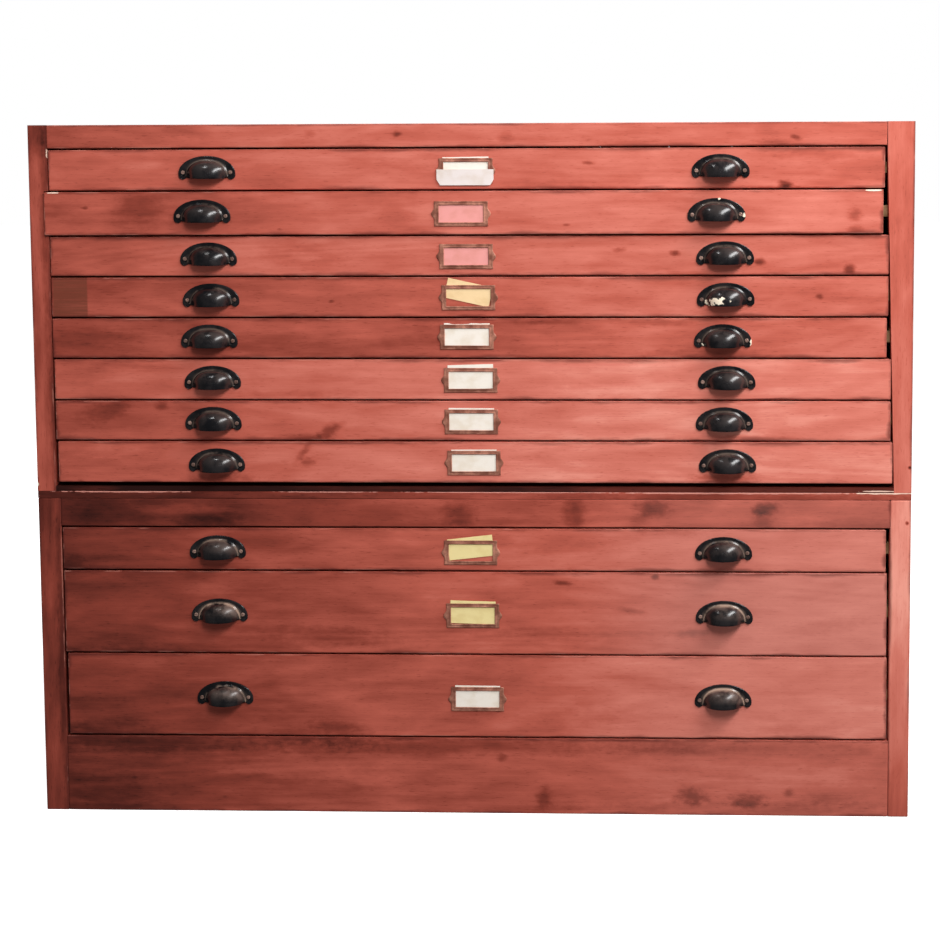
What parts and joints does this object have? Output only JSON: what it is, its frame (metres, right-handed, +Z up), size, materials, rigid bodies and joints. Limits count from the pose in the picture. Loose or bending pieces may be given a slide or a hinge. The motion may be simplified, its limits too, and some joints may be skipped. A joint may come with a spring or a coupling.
{
  "type": "flat file cabinet",
  "caption": "Low two-part plan chest with wide shallow sliding drawers, iron cup pulls and a plain plinth, for storing flat sheets.",
  "frame": {"origin": "on the floor, below the middle of the bounding box with the pulls included", "axes": "+Z up, drawer fronts face -Y, +X to the right of somebody facing the drawers"},
  "size_m": [1.4, 0.982, 1.112],
  "materials": {
    "red_stained_wood": "worn red stain on pine, satin",
    "bare_pine": "unfinished, aged, matt",
    "black_iron": "glossy black, worn in places",
    "aged_brass": "dull brown patina",
    "card": "matt card"
  },
  "bodies": {
    "case": {"upper_side_left": "red_stained_wood", "upper_side_right": "red_stained_wood", "upper_stile_left": "red_stained_wood", "upper_stile_right": "red_stained_wood", "upper_top_rail": "red_stained_wood", "upper_top_board": "red_stained_wood", "upper_back": "red_stained_wood", "lower_side_left": "red_stained_wood", "lower_side_right": "red_stained_wood", "lower_stile_left": "red_stained_wood", "lower_stile_right": "red_stained_wood", "lower_top_rail": "red_stained_wood", "lower_top_board": "red_stained_wood", "lower_back": "red_stained_wood", "upper_bottom_board": "red_stained_wood", "lower_plinth_rail": "red_stained_wood"},
    "drawer_01": {"drawer_01_front": "red_stained_wood", "drawer_01_tray": "bare_pine", "drawer_01_pull_left": "black_iron", "drawer_01_pull_right": "black_iron"},
    "drawer_02": {"drawer_02_front": "red_stained_wood", "drawer_02_tray": "bare_pine", "drawer_02_pull_left": "black_iron", "drawer_02_pull_right": "black_iron"},
    "drawer_03": {"drawer_03_front": "red_stained_wood", "drawer_03_tray": "bare_pine", "drawer_03_pull_left": "black_iron", "drawer_03_pull_right": "black_iron"},
    "drawer_04": {"drawer_04_front": "red_stained_wood", "drawer_04_tray": "bare_pine", "drawer_04_pull_left": "black_iron", "drawer_04_pull_right": "black_iron"},
    "drawer_05": {"drawer_05_front": "red_stained_wood", "drawer_05_tray": "bare_pine", "drawer_05_pull_left": "black_iron", "drawer_05_pull_right": "black_iron"},
    "drawer_06": {"drawer_06_front": "red_stained_wood", "drawer_06_tray": "bare_pine", "drawer_06_pull_left": "black_iron", "drawer_06_pull_right": "black_iron"},
    "drawer_07": {"drawer_07_front": "red_stained_wood", "drawer_07_tray": "bare_pine", "drawer_07_pull_left": "black_iron", "drawer_07_pull_right": "black_iron"},
    "drawer_08": {"drawer_08_front": "red_stained_wood", "drawer_08_tray": "bare_pine", "drawer_08_pull_left": "black_iron", "drawer_08_pull_right": "black_iron"},
    "drawer_09": {"drawer_09_front": "red_stained_wood", "drawer_09_tray": "bare_pine", "drawer_09_pull_left": "black_iron", "drawer_09_pull_right": "black_iron"},
    "drawer_10": {"drawer_10_front": "red_stained_wood", "drawer_10_tray": "bare_pine", "drawer_10_pull_left": "black_iron", "drawer_10_pull_right": "black_iron"},
    "drawer_11": {"drawer_11_front": "red_stained_wood", "drawer_11_tray": "bare_pine", "drawer_11_pull_left": "black_iron", "drawer_11_pull_right": "black_iron"}
  },
  "joints": [
    {"name": "drawer_01_slide", "type": "slide", "parent": "case", "child": "drawer_01", "axis": [0, -1, 0], "range_m": [0, 0.68]},
    {"name": "drawer_02_slide", "type": "slide", "parent": "case", "child": "drawer_02", "axis": [0, -1, 0], "range_m": [-0.005, 0.68]},
    {"name": "drawer_03_slide", "type": "slide", "parent": "case", "child": "drawer_03", "axis": [0, -1, 0], "range_m": [0, 0.68]},
    {"name": "drawer_04_slide", "type": "slide", "parent": "case", "child": "drawer_04", "axis": [0, -1, 0], "range_m": [0, 0.68]},
    {"name": "drawer_05_slide", "type": "slide", "parent": "case", "child": "drawer_05", "axis": [0, -1, 0], "range_m": [0, 0.68]},
    {"name": "drawer_06_slide", "type": "slide", "parent": "case", "child": "drawer_06", "axis": [0, -1, 0], "range_m": [0, 0.68]},
    {"name": "drawer_07_slide", "type": "slide", "parent": "case", "child": "drawer_07", "axis": [0, -1, 0], "range_m": [0, 0.68]},
    {"name": "drawer_08_slide", "type": "slide", "parent": "case", "child": "drawer_08", "axis": [0, -1, 0], "range_m": [0, 0.68]},
    {"name": "drawer_09_slide", "type": "slide", "parent": "case", "child": "drawer_09", "axis": [0, -1, 0], "range_m": [0, 0.68]},
    {"name": "drawer_10_slide", "type": "slide", "parent": "case", "child": "drawer_10", "axis": [0, -1, 0], "range_m": [0, 0.68]},
    {"name": "drawer_11_slide", "type": "slide", "parent": "case", "child": "drawer_11", "axis": [0, -1, 0], "range_m": [0, 0.68]}
  ]
}
